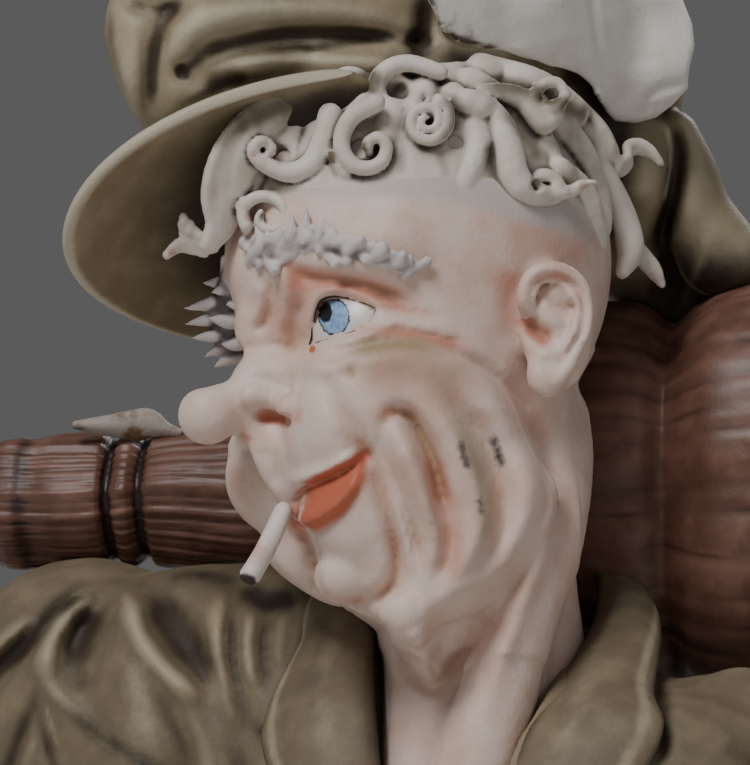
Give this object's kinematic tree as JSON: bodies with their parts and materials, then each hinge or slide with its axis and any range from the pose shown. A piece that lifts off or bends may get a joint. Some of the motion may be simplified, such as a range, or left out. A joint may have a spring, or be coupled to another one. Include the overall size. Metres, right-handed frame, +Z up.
{
  "type": "street sweeper bust figurine",
  "caption": "Porcelain bust of an old street sweeper in a floppy cap with a peak, curly hair and a besom carried behind the neck, cut flat below.",
  "frame": {"origin": "in the flat underside, below the neck", "axes": "+Z up; the chest faces -Y and the figure's left is +X; the head is turned 40 degrees to its right"},
  "size_m": [0.1505, 0.1163, 0.1403],
  "materials": {
    "bisque": "unglazed, washed with thin colour",
    "brown_glaze": "glossy brown glaze",
    "white_bisque": "unglazed",
    "leaf_bisque": "unglazed, washed with brown"
  },
  "bodies": {
    "root": {"sweeper_figure": "bisque", "besom": "brown_glaze", "cigarette": "white_bisque", "leaf": "leaf_bisque"}
  },
  "joints": []
}
